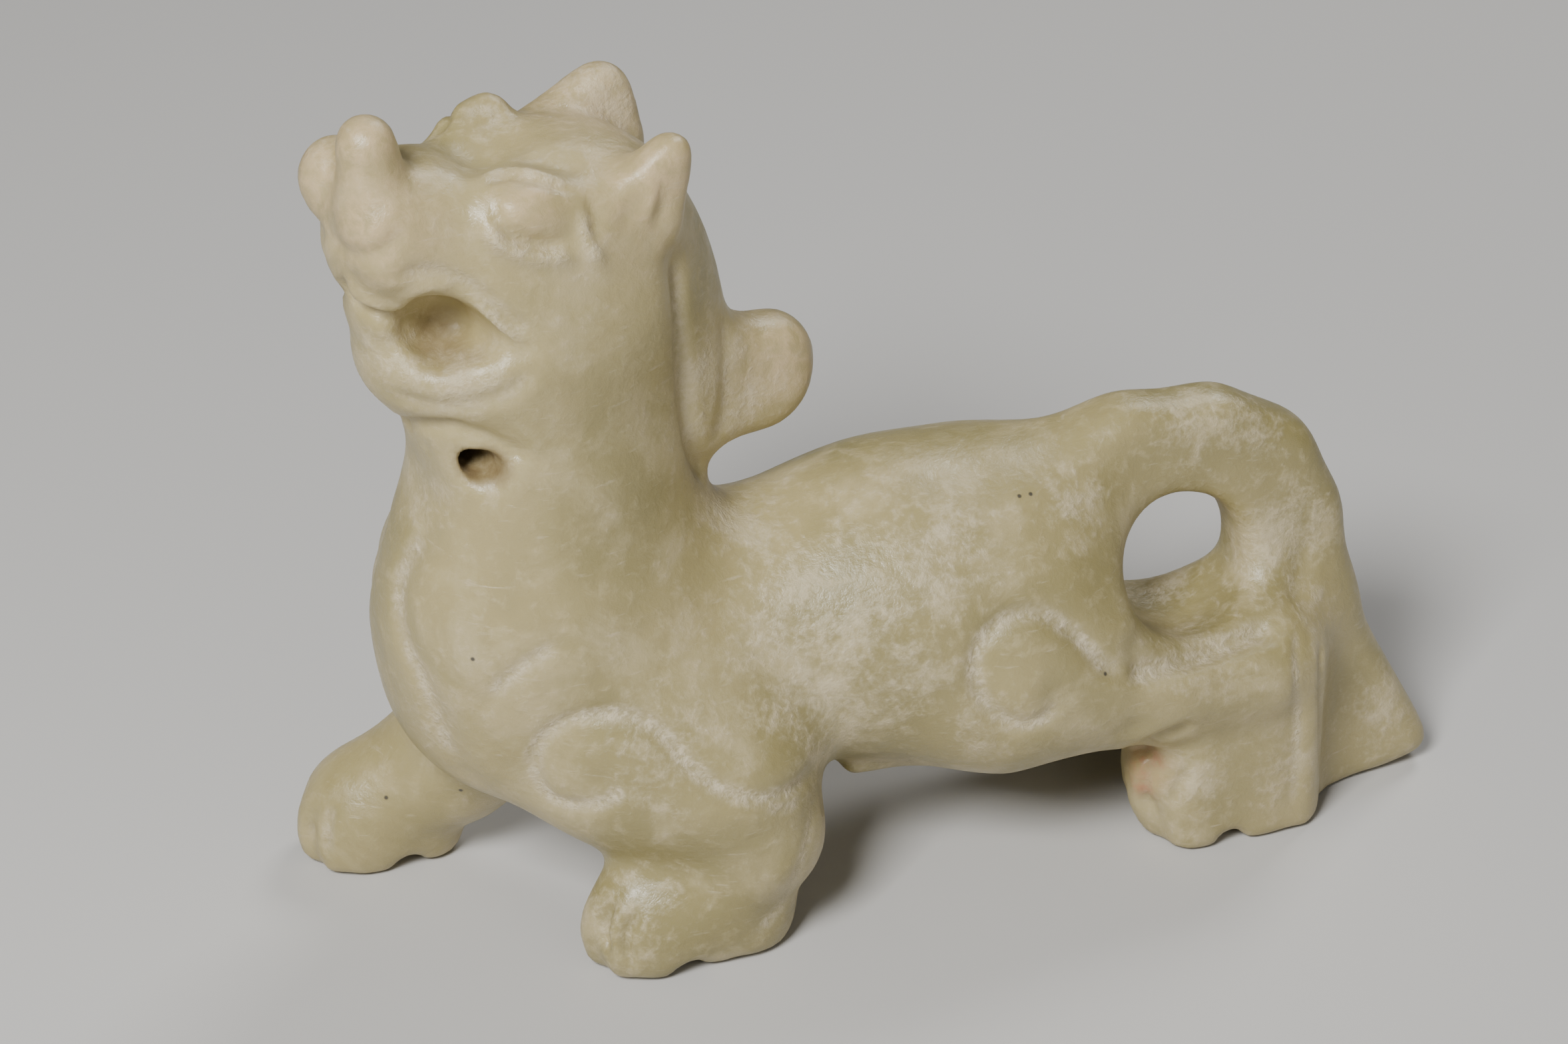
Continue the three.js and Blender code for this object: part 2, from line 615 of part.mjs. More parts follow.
class Heap {
  constructor() {
    this.items = [];
  }

  push(item) {
    const items = this.items;
    let at = items.push(item) - 1;
    while (at > 0) {
      const parent = (at - 1) >> 1;
      if (items[parent].cost <= item.cost) break;
      items[at] = items[parent];
      at = parent;
    }
    items[at] = item;
  }

  pop() {
    const items = this.items;
    const top = items[0];
    const last = items.pop();
    if (!items.length) return top;
    let at = 0;
    for (;;) {
      let child = 2 * at + 1;
      if (child >= items.length) break;
      if (child + 1 < items.length && items[child + 1].cost < items[child].cost) child += 1;
      if (items[child].cost >= last.cost) break;
      items[at] = items[child];
      at = child;
    }
    items[at] = last;
    return top;
  }
}

function reduce(points, faces, keep) {
  const around = points.map(() => new Set());
  const quadrics = points.map(() => new Float64Array(10));
  faces.forEach((face, index) => {
    const q = quadricOf(...face.map((n) => points[n]));
    for (const n of face) {
      around[n].add(index);
      quadrics[n] = quadrics[n].map((value, i) => value + q[i]);
    }
  });
  const age = new Int32Array(points.length);
  const heap = new Heap();
  const neighbours = (n) => {
    const found = new Set();
    for (const index of around[n]) {
      for (const m of faces[index]) found.add(m);
    }
    found.delete(n);
    return found;
  };
  const offer = (m, n) => {
    const q = quadrics[m].map((value, i) => value + quadrics[n][i]);
    const point = bestPoint(q, points[m], points[n]);
    const reach = span(...[0, 1, 2].map((i) => points[m][i] - points[n][i]));
    heap.push({ cost: errorAt(q, point) + 1e-4 * reach * reach, m, n, point, stamp: age[m] + age[n] });
  };
  for (const [a, b, c] of faces) {
    if (a < b) offer(a, b);
    if (b < c) offer(b, c);
    if (c < a) offer(c, a);
  }
  const turnsOver = (n, skip, point) => {
    for (const index of around[n]) {
      const face = faces[index];
      if (face.includes(skip)) continue;
      const before = normalOf(...face.map((m) => points[m]));
      const after = normalOf(...face.map((m) => (m === n ? point : points[m])));
      const dot = before[0] * after[0] + before[1] * after[1] + before[2] * after[2];
      if (dot < 0.5 * span(...before) * span(...after)) return true;
    }
    return false;
  };
  let left = faces.length;
  while (left > keep && heap.items.length) {
    const { m, n, point, stamp } = heap.pop();
    if (!around[m].size || !around[n].size || stamp !== age[m] + age[n]) continue;
    const ring = neighbours(n);
    const shared = [...neighbours(m)].filter((other) => ring.has(other));
    if (shared.length !== 2 || shared.some((other) => around[other].size < 4)) continue;
    if (turnsOver(m, n, point) || turnsOver(n, m, point)) continue;
    points[m] = point;
    for (const index of [...around[n]]) {
      const face = faces[index];
      if (face.includes(m)) {
        for (const corner of face) around[corner].delete(index);
        left -= 1;
      } else {
        face[face.indexOf(n)] = m;
        around[m].add(index);
      }
    }
    around[n].clear();
    quadrics[m] = quadrics[m].map((value, i) => value + quadrics[n][i]);
    age[m] += age[n] + 1;
    for (const other of neighbours(m)) offer(m, other);
  }
  const number = new Map();
  const position = [];
  const index = [];
  faces.forEach((face, at) => {
    if (!around[face[0]].has(at)) return;
    for (const n of face) {
      if (!number.has(n)) {
        number.set(n, number.size);
        position.push(...points[n]);
      }
      index.push(number.get(n));
    }
  });
  const geometry = new THREE.BufferGeometry();
  geometry.setAttribute("position", new THREE.Float32BufferAttribute(position, 3));
  geometry.setIndex(index);
  return geometry;
}

// the straight cuts: the drilled cord hole, and the ground under the paws
const joinWithin = 0.004;
const wasm = await Module();
wasm.setup();

function toSolid(geometry) {
  const bare = geometry.clone();
  bare.deleteAttribute("normal");
  bare.deleteAttribute("uv");
  const merged = mergeVertices(bare, 1e-5);
  return new wasm.Manifold(new wasm.Mesh({
    numProp: 3,
    vertProperties: new Float32Array(merged.attributes.position.array),
    triVerts: new Uint32Array(merged.index.array),
  }));
}

function toGeometry(solid) {
  const mesh = solid.getMesh();
  let geometry = new THREE.BufferGeometry();
  geometry.setAttribute("position", new THREE.BufferAttribute(mesh.vertProperties, 3));
  geometry.setIndex(new THREE.BufferAttribute(mesh.triVerts, 1));
  geometry = mergeVertices(geometry, joinWithin);
  const corners = geometry.index.array;
  const kept = [];
  for (let i = 0; i < corners.length; i += 3) {
    const [a, b, c] = corners.slice(i, i + 3);
    if (a !== b && b !== c && c !== a) kept.push(a, b, c);
  }
  geometry.setIndex(kept);
  geometry.computeVertexNormals();
  return geometry;
}

function drill(form) {
  const angle = headTurn * Math.PI / 180;
  const cutter = new THREE.CylinderGeometry(form.radius, form.radius, form.length, 16);
  cutter.translate(-form.at[0], 0, form.at[1]);
  cutter.rotateZ(angle);
  cutter.translate(headAxis[0], headAxis[1], 0);
  return toSolid(cutter);
}

function ground() {
  const slabBelow = new THREE.BoxGeometry(200, 200, 20);
  slabBelow.translate(0, 0, -10);
  return toSolid(slabBelow);
}

const wrapped = wrapSurface();
let solid = toSolid(reduce(wrapped.points, wrapped.faces, facetCount));
solid = solid.subtract(ground());
solid = solid.subtract(drill(cordDrill));

const geometry = toGeometry(solid);
geometry.computeBoundingBox();
const box = geometry.boundingBox;
geometry.translate(-(box.min.x + box.max.x) / 2, -(box.min.y + box.max.y) / 2, -box.min.z);

const material = new THREE.MeshStandardMaterial({
  color: stoneColour, roughness: stoneRoughness, metalness: 0,
});
const mesh = new THREE.Mesh(geometry, material);
mesh.name = "beast_figure";

const group = new THREE.Group();
group.add(mesh);

export default group;
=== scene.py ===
import math

import bpy
import numpy as np
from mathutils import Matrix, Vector


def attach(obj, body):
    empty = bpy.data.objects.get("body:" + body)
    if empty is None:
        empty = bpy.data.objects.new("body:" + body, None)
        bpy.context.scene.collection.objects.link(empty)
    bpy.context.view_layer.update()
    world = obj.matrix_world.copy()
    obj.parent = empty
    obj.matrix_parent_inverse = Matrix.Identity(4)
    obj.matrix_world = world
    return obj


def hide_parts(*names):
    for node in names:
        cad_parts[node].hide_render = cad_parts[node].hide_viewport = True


# A carved jade beast, about 78 mm long, on a pale floor. The head points to -X
# and the beast's left side to -Y. Lengths in the dictionaries are millimetres.
# Places on its near side are pixels of the photograph, found on its surface by
# looking through the camera. They are carried over to the far side by mirroring.

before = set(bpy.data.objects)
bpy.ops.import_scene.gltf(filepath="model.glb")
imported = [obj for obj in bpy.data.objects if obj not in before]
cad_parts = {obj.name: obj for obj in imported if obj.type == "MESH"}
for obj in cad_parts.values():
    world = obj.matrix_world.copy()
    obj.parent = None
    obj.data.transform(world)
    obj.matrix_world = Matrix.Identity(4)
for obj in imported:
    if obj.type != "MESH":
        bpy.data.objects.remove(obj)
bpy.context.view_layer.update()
bpy.ops.object.select_all(action="DESELECT")
mm = 0.001


# the view of the photograph
camera = {
    "azimuth": -20,            # degrees round the beast, from its left side towards its head
    "elevation": 30,
    "lookAt": (-8.04, -1.75, 26.6),
    "distance": 281.4,
    "lens": 100,
    "sensor": 36,
    "clipStart": 0.01,         # metres
    "photoWide": 2355,
    "photoHigh": 1568,
}


def directionTo(azimuth, elevation):
    a, e = math.radians(azimuth), math.radians(elevation)
    return Vector((math.sin(a) * math.cos(e), -math.cos(a) * math.cos(e), math.sin(e)))


def aim(obj, target):
    obj.rotation_euler = (Vector(target) - obj.location).to_track_quat("-Z", "Y").to_euler()


def addCamera():
    target = Vector(camera["lookAt"]) * mm
    away = directionTo(camera["azimuth"], camera["elevation"]) * camera["distance"] * mm
    bpy.ops.object.camera_add(location=target + away)
    cam = bpy.context.object
    cam.data.lens = camera["lens"]
    cam.data.sensor_width = camera["sensor"]
    cam.data.clip_start = camera["clipStart"]
    aim(cam, target)
    bpy.context.scene.camera = cam
    print("camera in place")


# soft studio light over a pale floor
studio = {
    "floorSize": 1.6,          # metres, as the other lengths here are
    "floorColour": (0.56, 0.55, 0.53),
    "floorRoughness": 0.9,
    "skyColour": (1.0, 0.98, 0.95),
    "sky": 0.05,
    "aimAt": (0, 0, 0.02),
    "key": {"from": (-45, 44), "far": 0.50, "size": 0.14, "watts": 3.2},
    "fill": {"from": (15, 28), "far": 0.70, "size": 0.50, "watts": 0.55},
    "back": {"from": (130, 50), "far": 0.50, "size": 0.16, "watts": 0.9},
}


def softBox(name, light):
    place = directionTo(*light["from"]) * light["far"]
    bpy.ops.object.light_add(type="AREA", location=place)
    lamp = bpy.context.object
    lamp.name = name
    lamp.data.size = light["size"]
    lamp.data.energy = light["watts"]
    aim(lamp, studio["aimAt"])


def addStudio():
    bpy.ops.mesh.primitive_plane_add(size=studio["floorSize"], location=(0, 0, 0))
    floor = bpy.context.object
    floor.name = "floor"
    paint = bpy.data.materials.new("floorPaint")
    paint.use_nodes = True
    shader = paint.node_tree.nodes["Principled BSDF"]
    shader.inputs["Base Color"].default_value = (*studio["floorColour"], 1)
    shader.inputs["Roughness"].default_value = studio["floorRoughness"]
    floor.data.materials.append(paint)
    for name in ("key", "fill", "back"):
        softBox(name + "Light", studio[name])
    world = bpy.data.worlds.new("paleRoom")
    world.use_nodes = True
    sky = world.node_tree.nodes["Background"]
    sky.inputs["Color"].default_value = (*studio["skyColour"], 1)
    sky.inputs["Strength"].default_value = studio["sky"]
    bpy.context.scene.world = world
    print("floor and lights in place")


# the beast's body: the solid's own form, rounded and wrapped afresh
beast = {
    "samePoint": 0.001,        # points closer than this are one
    "roundings": 2,
    "cell": 0.36,              # between points of the fine surface
    "smoothPasses": 14,
    "smoothShare": 0.5,
}


def applyModifier(piece, kind, name, **settings):
    bpy.context.view_layer.objects.active = piece
    change = piece.modifiers.new(name, kind)
    for key, value in settings.items():
        setattr(change, key, value)
    bpy.ops.object.modifier_apply(modifier=name)


def wrapBeast():
    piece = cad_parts["beast_figure"].copy()
    piece.data = piece.data.copy()
    piece.name = "beast"
    piece.parent = None
    bpy.context.collection.objects.link(piece)
    bpy.context.view_layer.objects.active = piece
    piece.select_set(True)
    bpy.ops.object.mode_set(mode="EDIT")
    bpy.ops.mesh.select_all(action="SELECT")
    bpy.ops.mesh.remove_doubles(threshold=beast["samePoint"] * mm)
    bpy.ops.object.mode_set(mode="OBJECT")
    piece.data.materials.clear()
    times = beast["roundings"]
    applyModifier(piece, "SUBSURF", "round", levels=times, render_levels=times)
    applyModifier(piece, "REMESH", "wrap", mode="VOXEL", voxel_size=beast["cell"] * mm)
    applyModifier(piece, "SMOOTH", "soft", iterations=beast["smoothPasses"], factor=beast["smoothShare"])
    bpy.ops.object.shade_smooth()
    print("beast wrapped:", len(piece.data.polygons), "faces")
    return piece


# the plane that each part of the beast is mirrored in: a point on it, its turn in
# degrees, and how far the mirrored form lies ahead of the one that is seen
mirrorPlanes = {
    "head": {"through": (-23.04, -0.55), "turn": 9, "ahead": 0},
    "shoulder": {"through": (0, 0.45), "turn": 0, "ahead": 4},
    "haunch": {"through": (0, -1.1), "turn": 0, "ahead": 0},
}


def mirrored(piece, path, planeName):
    plane = mirrorPlanes[planeName]
    turn = math.radians(plane["turn"])
    normal = Vector((math.sin(turn), -math.cos(turn), 0))
    through = Vector((*plane["through"], 0))
    flipped = []
    for point in path:
        p = Vector(point)
        p = p - 2 * (p - through).dot(normal) * normal
        p.x -= plane["ahead"]
        flipped.append(tuple(piece.closest_point_on_mesh(p * mm)[1] / mm))
    return np.array(flipped)


# the place on the beast that the photograph shows at this pixel, or None
def underPixel(piece, x, y):
    back = directionTo(camera["azimuth"], camera["elevation"])
    right = Vector((0, 0, 1)).cross(back).normalized()
    up = back.cross(right)
    eye = Vector(camera["lookAt"]) + back * camera["distance"]
    pixel = camera["sensor"] / camera["photoWide"]
    ray = right * (x - camera["photoWide"] / 2) * pixel - up * (y - camera["photoHigh"] / 2) * pixel
    ray -= back * camera["lens"]
    hit, place, normal, face = piece.ray_cast(eye * mm, ray.normalized())
    return tuple(place / mm) if hit else None


# a soft line through the pixels, laid on the beast
def drawnLine(piece, pixels, step=3):
    knots = [Vector(p) for p in pixels]
    knots = [2 * knots[0] - knots[1]] + knots + [2 * knots[-1] - knots[-2]]
    path = []
    for i in range(1, len(knots) - 2):
        a, b, c, d = knots[i - 1:i + 3]
        count = max(2, int((c - b).length / step))
        for n in range(count):
            t = n / count
            p = 0.5 * (2 * b + (c - a) * t + (2 * a - 5 * b + 4 * c - d) * t * t
                       + (3 * b - a - 3 * c + d) * t ** 3)
            path.append(underPixel(piece, p.x, p.y))
    path.append(underPixel(piece, *pixels[-1]))
    return np.array([p for p in path if p])


def surfacePoints(piece):
    co = np.empty(len(piece.data.vertices) * 3, np.float32)
    piece.data.vertices.foreach_get("co", co)
    return co.reshape(-1, 3) / mm


# 1 on a line, falling to 0 beside it
lines = {
    "reach": 2.4,              # in widths, as far as the line is felt
    "fadeLength": 1.2,         # a line, but not a dome, fades towards its ends
    "leastAtEnd": 0.15,
    "batch": 4000,             # points measured at once
    "leastShare": 0.02,        # smaller shares move nothing
}


def nearLine(places, path, width, power=2):
    reach = lines["reach"] * width
    near = np.all((places > path.min(0) - reach) & (places < path.max(0) + reach), axis=1)
    index = np.nonzero(near)[0]
    share = np.zeros(len(places), np.float32)
    steps = np.linalg.norm(np.diff(path, axis=0), axis=1)
    along = np.concatenate(([0], np.cumsum(steps)))
    ends = np.ones(len(path))
    if power == 2:
        ends = np.clip(np.minimum(along, along[-1] - along) / lines["fadeLength"], lines["leastAtEnd"], 1)
    for start in range(0, len(index), lines["batch"]):
        part = index[start:start + lines["batch"]]
        gap = np.linalg.norm(places[part, None] - path[None], axis=2)
        best = gap.argmin(1)
        share[part] = np.exp(-(gap[np.arange(len(part)), best] / width) ** power) * ends[best]
    return share


# moves the surface in or out by a share of the given distance
def press(piece, name, share, distance):
    group = piece.vertex_groups.new(name=name)
    for i in np.nonzero(share > lines["leastShare"])[0]:
        group.add([int(i)], float(min(share[i], 1)), "REPLACE")
    applyModifier(piece, "DISPLACE", name, vertex_group=name, mid_level=0, strength=distance * mm)
    piece.vertex_groups.remove(piece.vertex_groups[name])


# every form: (pixels, width, how far it stands out or, below 0, cuts in, chalk)
faceForms = {
    "lowerLid": ([(730, 324), (742, 356), (770, 374), (800, 382), (846, 382), (870, 380)], 0.65, 0.38, 0.75),
    "eyeCorner": ([(860, 306), (872, 324), (878, 344), (884, 364), (892, 380), (908, 408)], 0.45, 0.32, 0.9),
    "lipEdge": ([(520, 410), (532, 436), (552, 450), (580, 459), (598, 456), (616, 440), (650, 428),
                 (688, 434)], 0.5, 0.35, 0.3),
    "mouthRidge": ([(705, 446), (735, 472), (765, 498), (800, 517)], 0.4, 0.25, 0.8),
    "lowerLip": ([(545, 505), (578, 545), (612, 566), (674, 577), (736, 574), (778, 548)], 0.7, 0.12, 0.6),
    "eyeTop": ([(728, 279), (745, 268), (764, 263), (800, 268), (840, 281), (862, 294)], 0.4, -0.40, 0.1),
    "eyeLow": ([(736, 300), (744, 318), (756, 340), (780, 358), (820, 368), (856, 366)], 0.4, -0.42, 0.0),
    "eyeBehind": ([(880, 290), (892, 320), (894, 370)], 0.45, -0.25, 0.0),
    "underLip": ([(508, 408), (522, 440), (545, 462), (575, 474), (598, 470)], 0.45, -0.55, 0.4),
    "lipCrease": ([(592, 418), (630, 408), (672, 412), (712, 432), (745, 460), (775, 486), (806, 506)],
                  0.5, -0.32, 0.7),
    "mouthHollow": ([(700, 505), (735, 520), (770, 525)], 1.0, -0.45, 0.2),
    "noseCrease": ([(488, 352), (520, 380), (556, 384), (590, 362), (606, 326)], 0.6, -0.30, 0.2),
    "chin": ([(580, 590), (625, 605), (670, 612), (720, 606), (770, 588), (806, 550)], 0.6, -0.25, 0.5),
    "jaw": ([(602, 636), (640, 637), (680, 639), (700, 648), (730, 660), (770, 680), (800, 692)],
            0.6, -0.5, 0.4),
    "maneEdge": ([(1012, 380), (1018, 450), (1022, 520), (1028, 600), (1036, 660), (1055, 720)],
                 0.6, -0.45, 0.8),
    "maneCrease": ([(1085, 470), (1092, 540), (1090, 610), (1075, 670)], 0.7, -0.25, 0.6),
    "earRib": ([(975, 262), (978, 300), (968, 340)], 0.4, 0.25, 0.2),
    "earFront": ([(955, 282), (945, 315), (936, 352)], 0.5, -0.15, 0.2),
    "earRear": ([(998, 285), (994, 320), (985, 352)], 0.5, -0.15, 0.3),
}

# what only the near side of the head shows
nearForms = {
    "brow": ([(714, 270), (734, 261), (760, 256), (784, 258), (806, 264), (830, 272), (862, 281)],
             0.4, 0.22, 0.7),
    "browValley": ([(790, 228), (820, 240), (850, 244), (885, 246)], 1.1, -0.45, 0.0),
    "noseValley": ([(628, 262), (655, 278), (690, 272), (705, 252)], 1.3, -0.22, 0.1),
    "farBrowRing": ([(690, 182), (705, 170), (732, 162), (748, 172), (738, 186), (712, 190)],
                    0.35, -0.25, 0.9),
}

# low domes
faceDomes = {
    "eyeball": ([(774, 306), (802, 317), (832, 331)], 1.6, 0.25, 0.0),
}
nearDomes = {
    "nosePad": ([(530, 318), (562, 322)], 2.0, 0.35, 0.0),
    "hindToe": ([(1712, 1150), (1722, 1180)], 1.1, 0.35, 0.2),
}

shoulderForms = {
    "scroll": ([(915, 1170), (925, 1195), (900, 1207), (860, 1208), (825, 1195), (805, 1160), (805, 1125),
                (835, 1090), (880, 1075), (930, 1072), (975, 1085), (1005, 1110), (1035, 1150), (1080, 1182),
                (1130, 1200), (1180, 1190), (1215, 1165)], 0.5, -0.22, 1.0),
    "scrollTwin": ([(1145, 1212), (1180, 1214), (1208, 1200)], 0.4, -0.15, 0.9),
    "breastDash": ([(735, 1055), (760, 1020), (800, 990), (845, 965)], 0.45, -0.2, 0.9),
    "breastEdge": ([(640, 800), (605, 860), (600, 920), (612, 970), (640, 1030), (660, 1090), (680, 1140)],
                   0.6, -0.2, 0.85),
    "forearm": ([(1222, 1210), (1212, 1260), (1190, 1330), (1160, 1375), (1130, 1410)], 0.5, -0.06, 0.8),
    "innerToe": ([(925, 1345), (905, 1390), (912, 1440)], 0.45, -0.65, 0.7),
    "outerToe": ([(960, 1365), (940, 1410), (948, 1455)], 0.45, -0.60, 0.6),
}

haunchForms = {
    "scroll": ([(1585, 1050), (1570, 1078), (1530, 1088), (1490, 1065), (1465, 1025), (1468, 975),
                (1500, 935), (1545, 920), (1590, 935), (1625, 962), (1655, 995), (1690, 1012)],
               0.5, -0.25, 1.0),
    "thigh": ([(1690, 1012), (1740, 1005), (1800, 985), (1860, 960), (1915, 938)], 0.75, -0.55, 1.0),
    "hockFront": ([(1946, 940), (1947, 1010), (1948, 1080), (1946, 1150), (1940, 1218)], 0.35, -0.12, 0.8),
    "hockRear": ([(1984, 960), (1985, 1020), (1984, 1100), (1982, 1150)], 0.4, -0.25, 0.1),
}

# what only the near side shows, and the far front paw
singleForms = {
    "hindCrease": ([(1700, 1132), (1725, 1120), (1760, 1106), (1800, 1092)], 0.9, -0.75, 0.0),
    "hindInnerToe": ([(1742, 1130), (1728, 1160), (1722, 1195), (1735, 1225)], 0.45, -0.40, 0.5),
    "hindOuterToe": ([(1790, 1150), (1770, 1180), (1762, 1220)], 0.45, -0.35, 0.4),
    "farInnerToe": ([(505, 1205), (490, 1240), (490, 1290)], 0.45, -0.40, 0.8),
    "farOuterToe": ([(468, 1225), (463, 1275)], 0.45, -0.35, 0.6),
    "tailCrease": ([(1960, 800), (1955, 860), (1945, 915)], 1.0, -0.30, 0.3),
}

deepest = 0.75                 # the largest of the distances above

formGroups = [
    (faceForms, "head", 2), (nearForms, None, 2), (faceDomes, "head", 2.5), (nearDomes, None, 3),
    (shoulderForms, "shoulder", 2), (haunchForms, "haunch", 2), (singleForms, None, 2),
]


# every form's line on the beast, and on its far side where it is mirrored
def layForms(piece):
    laid = []
    for forms, planeName, power in formGroups:
        for pixels, width, height, chalk in forms.values():
            path = drawnLine(piece, pixels)
            paths = [path, mirrored(piece, path, planeName)] if planeName else [path]
            laid += [(p, width, height, chalk, power) for p in paths]
    return laid


def carveBeast(piece):
    laid = layForms(piece)
    places = surfacePoints(piece)
    raised = np.zeros(len(places), np.float32)
    cut = np.zeros(len(places), np.float32)
    for path, width, height, chalk, power in laid:
        share = nearLine(places, path, width, power) * abs(height) / deepest
        if height > 0:
            raised = np.maximum(raised, share)
        else:
            cut = np.maximum(cut, share)
    press(piece, "raised", raised, deepest)
    press(piece, "cut", cut, -deepest)
    print("lines and face carved:", len(laid))
    return laid


# where the stone's surface differs from its polished green, and where shade and light are painted on it:
# (pixel, radius)
tints = {
    "chalkSpread": 1.35,        # the white edge of a carved line, in widths of the line
    # ochre on the head, and painted light: lighter where the light falls fully, on the snout, the knob and
    # the ears
    "warm": [
        ((545, 330), 4.5), ((545, 210), 4.0), ((470, 260), 3.5), ((470, 430), 3.0), ((985, 270), 4.0),
        ((890, 170), 5.0), ((1180, 540), 3.5), ((800, 300), 2.5), ((1210, 470), 2.0),
    ],
    # white wear; the two patches on the tail's arch, at (1880, 650) and (1780, 640), are a painted highlight
    "wornAndSheen": [
        ((600, 560), 3.5), ((690, 570), 2.5), ((640, 720), 3.0), ((1060, 560), 4.0), ((1090, 650), 4.5),
        ((1110, 780), 4.5), ((1200, 900), 6.0), ((1300, 930), 6.0), ((1340, 1020), 5.5), ((1240, 1060), 5.0),
        ((1400, 830), 5.0), ((940, 1360), 4.0), ((1930, 800), 4.5), ((1880, 650), 4.0), ((1780, 640), 3.5),
        ((1960, 900), 3.5), ((2080, 1060), 4.5), ((1700, 830), 4.0), ((1740, 890), 3.0), ((1610, 760), 3.0),
        ((1790, 960), 4.0), ((1060, 600), 3.0), ((640, 1060), 3.5), ((1000, 1140), 4.0), ((900, 130), 4.0),
        ((740, 180), 2.0), ((1800, 1170), 3.0), ((1920, 1160), 3.0), ((1480, 1090), 3.0), ((1330, 1140), 3.0),
    ],
    # painted shade: deeper green under the belly, paws and thighs and on the neck below the jaw
    "dark": [
        ((1085, 690), 3.0), ((1300, 1130), 3.5), ((1620, 1120), 5.0), ((2040, 1020), 3.5), ((1780, 900), 2.0),
        ((700, 1180), 3.0), ((1850, 1120), 4.0), ((900, 690), 6.0), ((880, 560), 4.0), ((530, 1200), 5.0),
        ((610, 1220), 5.0), ((1870, 1130), 4.0), ((1150, 550), 3.0), ((1500, 1130), 4.0), ((940, 1150), 5.0),
        ((1080, 1300), 5.0), ((1170, 600), 3.0), ((1190, 520), 3.5), ((1080, 690), 4.0), ((860, 1150), 4.0),
        ((1450, 660), 5.0),
    ],
    "stain": [
        ((1724, 1146), 1.3), ((1716, 1180), 0.9),
    ],
}


def patches(piece, places, spots):
    share = np.zeros(len(places), np.float32)
    for pixel, radius in spots:
        at = underPixel(piece, *pixel)
        if at:
            gap = np.linalg.norm(places - np.array(at), axis=1)
            share = np.maximum(share, np.exp(-(gap / radius) ** 2))
    return share


def setShare(piece, name, share):
    layer = piece.data.attributes.new(name, "FLOAT", "POINT")
    layer.data.foreach_set("value", np.clip(share, 0, 1).astype(np.float32))


# the brown on the low wall of the mouth's two cups, and in the cord hole, is soil and painted shade; it lies
# along a
# line straight across the head: a point on that line, the brown's radius and soft edge
# round it, how far from the middle the brown is full, and where it has faded
holes = {
    "mouth": {"through": (-31.4, -1.87, 45.0), "radius": 0.8, "soft": 1.7, "full": 2.6, "faded": 6.4,
              "tint": 0.75},
    "cord": {"through": (-30.06, -1.66, 37.3), "radius": 1.05, "soft": 0.6, "full": 6.0, "faded": 7.0,
             "tint": 1.0},
}


def insideHole(places, hole):
    turn = math.radians(mirrorPlanes["head"]["turn"])
    axis = np.array((math.sin(turn), -math.cos(turn), 0))
    away = places - np.array(hole["through"])
    along = away @ axis
    off = np.linalg.norm(away - along[:, None] * axis, axis=1)
    wall = np.clip(1 - (off - hole["radius"]) / hole["soft"], 0, 1)
    inward = (hole["faded"] - np.abs(along)) / (hole["faded"] - hole["full"])
    return hole["tint"] * wall * np.clip(inward, 0, 1)


def tintBeast(piece, laid):
    places = surfacePoints(piece)
    chalk = np.zeros(len(places), np.float32)
    for path, width, height, white, power in laid:
        if white > 0:
            chalk = np.maximum(chalk, nearLine(places, path, width * tints["chalkSpread"]) * white)
    setShare(piece, "chalk", chalk)
    for name in ("warm", "wornAndSheen", "dark", "stain"):
        setShare(piece, name, patches(piece, places, tints[name]))
    setShare(piece, "hole", np.maximum(insideHole(places, holes["mouth"]), insideHole(places, holes["cord"])))
    print("tints laid")


# the stone: pale olive green jade, cloudy, chalky where it is carved or worn
jade = {
    "green": (0.405, 0.335, 0.158),
    # deepGreen is the stone's darker tone and also the colour of the painted shade
    "deepGreen": (0.285, 0.240, 0.100),
    "cloud": (0.50, 0.42, 0.235),
    "chalk": (0.64, 0.555, 0.395),
    # ochre, lighter than the green: also the painted light on the snout and ears
    "warm": (0.60, 0.455, 0.26),
    # dark brown inside the holes: soil and painted shade
    "hole": (0.14, 0.086, 0.024),
    "stain": (0.46, 0.20, 0.10),
    "speck": (0.04, 0.035, 0.03),
    "specks": [(710, 990), (580, 1198), (692, 1187), (1660, 1012), (1531, 745), (1548, 742)],
    "speckRadius": 0.13,
    "speckEdge": (0.6, 1.6),   # in radii
    "speckShare": 0.9,
    "polish": 0.36,
    "dull": 0.70,
    "holeDull": 0.95,
    "refraction": 1.61,
    "glow": 0.22,
    "glowRadius": (1.0, 0.85, 0.5),
    "glowDepth": 1.8,
    "mottleHeight": 0.8,
    "bump": 0.6,
    "bumpHeight": 0.2,
}

# the noises in the stone: features to a metre, detail, roughness and twist
noises = {
    "drift": (60, 3, 0.5, 0.5),
    "cloud": (170, 8, 0.62, 0.5),
    "mottle": (850, 6, 0.66, 0.3),
    "grain": (2600, 4, 0.6, 0.0),
    "streak": (420, 5, 0.6, 0.0),
}
streaks = {"turn": (0.3, 0.7, 0.2), "stretch": (1, 1, 6)}
tintNames = ("chalk", "warm", "wornAndSheen", "dark", "stain", "hole")

